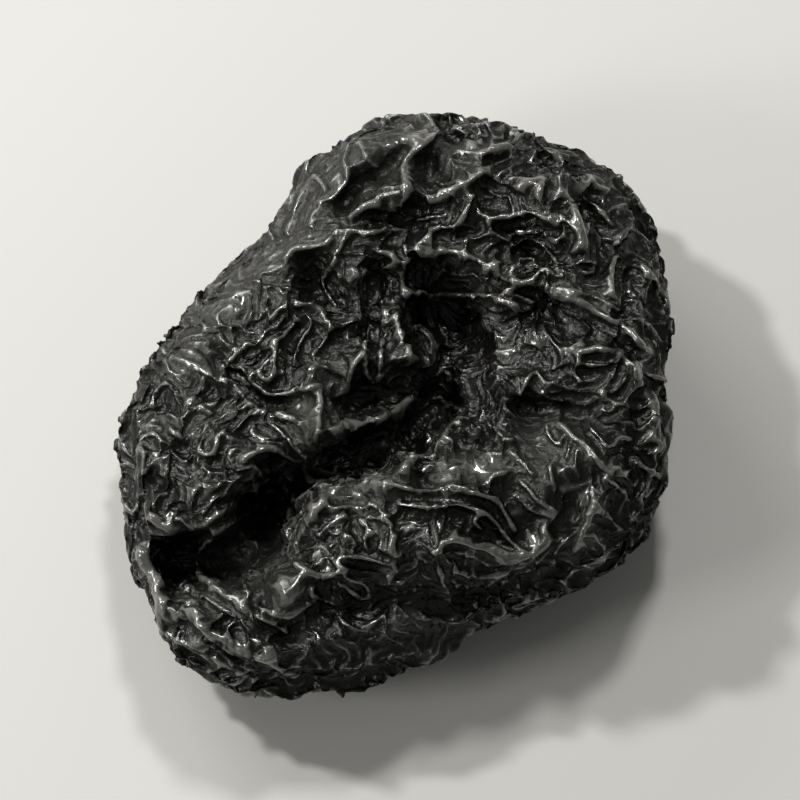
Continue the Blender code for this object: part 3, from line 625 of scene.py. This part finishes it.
# The drying: the skin buckles into broad folds, and then, on a finer net, into wrinkles between
# the drawn folds. It grows more in some patches, and a slight unevenness starts each wrinkle.
# The marks that it is given say where it stands out, where it lies calm and gets a painted sheen, and where
# it is glossy.
BROAD_GROWTH = 0.12
BROAD_PATCHES_MM = 4.0
BROAD_LIE_MM = 5.0
BROAD_BENDING = 0.8
BROAD_BED = {"outward": 0.006, "inward": 0.012, "sideways": 0.004}
BROAD_SEEDS_MM = 0.06
BROAD_SEED_SIZE_MM = 1.2
BROAD_RUN = 130
FINE_STEP_MM = 0.094
FINE_SMOOTHING = 4
FINE_GROWTH = 0.38
FINE_PATCHES_MM = 3.0
FINE_LIE_MM = 2.6
FINE_BENDING = 0.3
BENDING_CHANGE = 1.0
BENDING_PATCHES_MM = 2.2
FINE_BED = {"outward": 0.016, "inward": 0.08, "sideways": 0.008}
FINE_SEEDS_MM = 0.04
FINE_SEED_SIZE_MM = 0.5
FINE_RUN = 190
USUAL_GROWTH = 0.9
GROWTH_CHANGE = 0.8
GROWTH_LIMITS = (0.1, 1.4)
FIRST_DRAWING = 0.55
CALM_HOLD = 0.7
DRAWN_HOLD = 0.25
GLOSS_HOLD = 0.5
RELIEFS = (("crest", 10, 0.05), ("swell", 80, 0.15))
TRIANGLES_KEPT = 192000


def patchy(places, size_mm, spot):
    """The share of its growth that the skin has at each point, in patches of that size."""
    return np.clip(USUAL_GROWTH + GROWTH_CHANGE * field(places, size_mm, spot), *GROWTH_LIMITS)


calm = calmness(on_sheet(places)) * facing(places, quads)
places = wrinkled(
    places,
    quads,
    Net(quads, len(places)),
    growth=BROAD_GROWTH * (1 - calm) * patchy(places, BROAD_PATCHES_MM, (2, 5, 8)),
    lie=lie_of(places, quads, BROAD_LIE_MM, LIE_SPOTS),
    bending=BROAD_BENDING,
    bed=BROAD_BED,
    seeds_mm=BROAD_SEEDS_MM * field(places, BROAD_SEED_SIZE_MM, (0, 0, 0)),
    run=BROAD_RUN,
)
set_points(broad, places)

fine = evenly_remeshed(broad, FINE_STEP_MM, FINE_SMOOTHING)
places = points_of(fine)
quads = quads_of(fine)
net = Net(quads, len(places))
turned = facing(places, quads)
drawn, nearness, gloss = drawn_folds(places)
places = places + normals_at(places, quads) * (FIRST_DRAWING * drawn * turned)[:, None]
calm = calmness(on_sheet(places)) * turned
freedom = (1 - CALM_HOLD * calm) * (1 - DRAWN_HOLD * nearness * turned) * (1 - GLOSS_HOLD * gloss * turned)
leather = FINE_BENDING * np.exp(BENDING_CHANGE * field(places, BENDING_PATCHES_MM, (6, 6, 2)))
places = wrinkled(
    places,
    quads,
    net,
    growth=FINE_GROWTH * freedom * patchy(places, FINE_PATCHES_MM, (7, 3, 1)),
    lie=lie_of(places, quads, FINE_LIE_MM, LIE_SPOTS),
    bending=leather[:, None],
    bed=FINE_BED,
    seeds_mm=FINE_SEEDS_MM * field(places, FINE_SEED_SIZE_MM, (0, 0, 0)),
    run=FINE_RUN,
)
drawn, _, gloss = drawn_folds(places)
turned = facing(places, quads)
places = places + normals_at(places, quads) * ((1 - FIRST_DRAWING) * drawn * turned)[:, None]
places = with_sharp_crests(places, quads, net)
set_points(fine, places)
marks = {name: relief(places, quads, net, passes) / height for name, passes, height in RELIEFS}
# Painted sheen: where the skin lies calm and faces the sheet, the material turns it a greyer colour.
marks["painted_sheen"] = calmness(on_sheet(places)) * facing(places, quads)
marks["gloss"] = gloss * turned
for name, values in marks.items():
    fine.attributes.new(name, "FLOAT", "POINT").data.foreach_set("value", values.astype(np.float32))

fewer = {"ratio": TRIANGLES_KEPT / (2 * len(quads)), "use_collapse_triangulate": True}
finished = modified(fine, {"DECIMATE": fewer})
places = points_of(finished)
places[:, 2] = np.maximum(places[:, 2], 0)
set_points(finished, places)
finished.name = "wrinkled_cherry"
finished.shade_smooth()
cherry = bpy.data.objects.new("wrinkled_cherry", finished)
bpy.context.scene.collection.objects.link(cherry)

# The finish of the skin: near black in its valleys, which is painted shade, and a lighter grey along its
# crests and glossy folds, which is a painted highlight, with a coat of dried juice that shines on what stands
# out, dull patches at random, and a painted sheen of grey where it lies calm.
# Painted shade: the near-black colour given to the valleys.
VALLEY_SHADE_COLOUR = (0.0025, 0.0023, 0.0021, 1)
SKIN_COLOUR = (0.0080, 0.0078, 0.0071, 1)
# Painted highlight: the lighter grey given to the crests and the glossy folds.
CREST_HIGHLIGHT_COLOUR = (0.0700, 0.0690, 0.0640, 1)
# The grey of random dull patches, and of the painted sheen where the skin lies calm.
DULL_AND_SHEEN_COLOUR = (0.0340, 0.0337, 0.0315, 1)
PATCH_MM = 3.5
MOTTLE_MM = 0.6
GRAIN_MM = 0.2
SPECKLE_MM = 0.09
WIDE_CREASES_MM = 0.75
NARROW_CREASES_MM = 0.42
CREASE_WIDTH = 0.11
BUMP_MM = 0.05


class Tone:
    """A value that varies over the skin. Arithmetic on it adds Math nodes to the material."""

    def __init__(self, tree, socket=None):
        self.tree = tree
        self.socket = socket

    def node(self, kind, settings, values, output=0):
        """A new node's output: its settings are made first, then its sockets' values and links."""
        made = self.tree.nodes.new(kind)
        for name, setting in settings.items():
            setattr(made, name, setting)
        for name, value in values.items():
            if isinstance(value, Tone):
                self.tree.links.new(value.socket, made.inputs[name])
            else:
                made.inputs[name].default_value = value
        return Tone(self.tree, made.outputs[output])

    def maths(self, operation, first, second):
        """What a Math node makes of two values."""
        return self.node("ShaderNodeMath", {"operation": operation}, {0: first, 1: second})

    def __add__(self, other):
        return self.maths("ADD", self, other)

    def __radd__(self, other):
        return self.maths("ADD", other, self)

    def __sub__(self, other):
        return self.maths("SUBTRACT", self, other)

    def __rsub__(self, other):
        return self.maths("SUBTRACT", other, self)

    def __mul__(self, other):
        return self.maths("MULTIPLY", self, other)

    def __rmul__(self, other):
        return self.maths("MULTIPLY", other, self)

    def between(self, low, high):
        """0 below low, 1 above high, and smooth between them."""
        settings = {"interpolation_type": "SMOOTHSTEP"}
        return self.node("ShaderNodeMapRange", settings, {"Value": self, "From Min": low, "From Max": high})


def noise_tone(place, size_mm, detail):
    """Noise over the skin, about 0.2 to 0.8, with features of that size."""
    values = {"Vector": place, "Scale": 1 / (size_mm * MM), "Detail": detail}
    return place.node("ShaderNodeTexNoise", {"noise_dimensions": "3D"}, values)


def crease_tone(place, size_mm):
    """1 along thin wandering lines, about that far apart, and 0 between them."""
    away = noise_tone(place, size_mm, 1) - 0.5
    return 1 - away.maths("ABSOLUTE", away, 0).between(0, CREASE_WIDTH)


def mixed(share, first, second):
    """A colour that is that share of the way from the first to the second."""
    # The node has sockets of the same name for each kind of value, so the colour's go by number.
    return share.node("ShaderNodeMix", {"data_type": "RGBA"}, {0: share, 6: first, 7: second}, output=2)


skin = bpy.data.materials.new("black_cherry_skin")
skin.use_nodes = True
shader = skin.node_tree.nodes["Principled BSDF"]
place = Tone(skin.node_tree).node("ShaderNodeTexCoord", {}, {}, output="Object")
crest, swell, painted_sheen, gloss = (
    place.node("ShaderNodeAttribute", {"attribute_name": name}, {}, output="Fac")
    for name in ("crest", "swell", "painted_sheen", "gloss")
)
patch = noise_tone(place, PATCH_MM, 2)
mottle = noise_tone(place, MOTTLE_MM, 3)
grain = noise_tone(place, GRAIN_MM, 3)
speckle = noise_tone(place, SPECKLE_MM, 1)
creases = crease_tone(place, WIDE_CREASES_MM) + 0.6 * crease_tone(place, NARROW_CREASES_MM)

# Random dull patches, with a painted sheen where the skin lies calm; they make the colour greyer and the skin
# rougher.
dull_and_sheen = (0.7 * painted_sheen + patch.between(0.45, 0.65)) * (0.4 + 0.6 * mottle.between(0.35, 0.65))
# Painted shade: the colour darkens to near black in the valleys, where the skin lies below what is around it.
colour = mixed((swell + 0.4 * crest).between(-0.8, 0.6), VALLEY_SHADE_COLOUR, SKIN_COLOUR)
colour = mixed(dull_and_sheen * 0.5, colour, DULL_AND_SHEEN_COLOUR)
# Painted highlight: the colour lightens to grey along the crests and the glossy folds, varied by noise.
painted_highlight = (crest + 0.3 * creases + 0.7 * gloss + 1.2 * (mottle - 0.5)).between(0.2, 1.6)
colour = mixed(painted_highlight, colour, CREST_HIGHLIGHT_COLOUR)
roughness = 0.30 + 0.14 * dull_and_sheen + 0.12 * grain.between(0.3, 0.7) - 0.08 * crest.between(0.2, 1.2)
height = (creases + 1.2 * grain + 0.5 * speckle) * (1 - 0.75 * gloss)
bumps = place.node("ShaderNodeBump", {}, {"Strength": 0.6, "Distance": BUMP_MM * MM, "Height": height})
coat = 0.05 + 0.95 * (crest + 0.3 * creases + 1.5 * gloss).between(-0.2, 0.9)
feeds = {"Base Color": colour, "Roughness": roughness, "Normal": bumps, "Coat Weight": coat}
for name, tone in feeds.items():
    skin.node_tree.links.new(tone.socket, shader.inputs[name])
shader.inputs["Coat Roughness"].default_value = 0.2
shader.inputs["Coat IOR"].default_value = 1.7
shader.inputs["Specular IOR Level"].default_value = 0.25
finished.materials.clear()
finished.materials.append(skin)

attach(cherry, "root")
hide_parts("dried_cherry")

# The floor, lights and camera: a pale floor under soft, slightly warm light from the upper left,
# and a camera that looks down on the cherry's sunken side from 22 degrees off the plumb line.
FLOOR_SIZE_MM = 1200
FLOOR_COLOUR = (0.50, 0.495, 0.49, 1.0)
ROOM_COLOUR = (0.182, 0.182, 0.172, 1.0)
LAMP_COLOUR = (1, 0.995, 0.945)
CAMERA_ELEVATION = math.radians(68)
CAMERA_AWAY_MM = 300
FIELD_WIDTH_MM = 27.98
AIM_MM = Vector((0.177, 1.644, -0.144))

bpy.ops.mesh.primitive_plane_add(size=FLOOR_SIZE_MM * MM)
floor = bpy.context.object
floor.name = "floor"
paint = bpy.data.materials.new("pale_floor")
paint.use_nodes = True
paint.node_tree.nodes["Principled BSDF"].inputs["Base Color"].default_value = FLOOR_COLOUR
paint.node_tree.nodes["Principled BSDF"].inputs["Roughness"].default_value = 0.8
floor.data.materials.append(paint)

world = bpy.data.worlds.new("soft_room")
bpy.context.scene.world = world
world.use_nodes = True
world.node_tree.nodes["Background"].inputs["Color"].default_value = ROOM_COLOUR


def lamp(name, place_mm, size_mm, watts):
    """A square soft box that faces the cherry."""
    data = bpy.data.lights.new(name, "AREA")
    data.size = size_mm * MM
    data.energy = watts
    data.color = LAMP_COLOUR
    holder = bpy.data.objects.new(name, data)
    bpy.context.scene.collection.objects.link(holder)
    holder.location = Vector(place_mm) * MM
    holder.rotation_euler = (-holder.location).to_track_quat("-Z", "Y").to_euler()


lamp("window", (-140, 190, 120), 120, 0.34)
lamp("glint", (-110, 60, 140), 14, 0.23)
lamp("side", (-190, -70, 110), 60, 0.2)
lamp("top", (20, 100, 185), 26, 0.21)

camera_data = bpy.data.cameras.new("camera")
camera = bpy.data.objects.new("camera", camera_data)
bpy.context.scene.collection.objects.link(camera)
bpy.context.scene.camera = camera
back = Vector((0, -math.cos(CAMERA_ELEVATION), math.sin(CAMERA_ELEVATION)))
camera.location = (AIM_MM + back * CAMERA_AWAY_MM) * MM
camera.rotation_mode = "QUATERNION"
camera.rotation_quaternion = (-back).to_track_quat("-Z", "Y")
camera_data.lens = camera_data.sensor_width * CAMERA_AWAY_MM / FIELD_WIDTH_MM
camera_data.clip_start = 0.01
bpy.context.scene.view_settings.view_transform = "Standard"
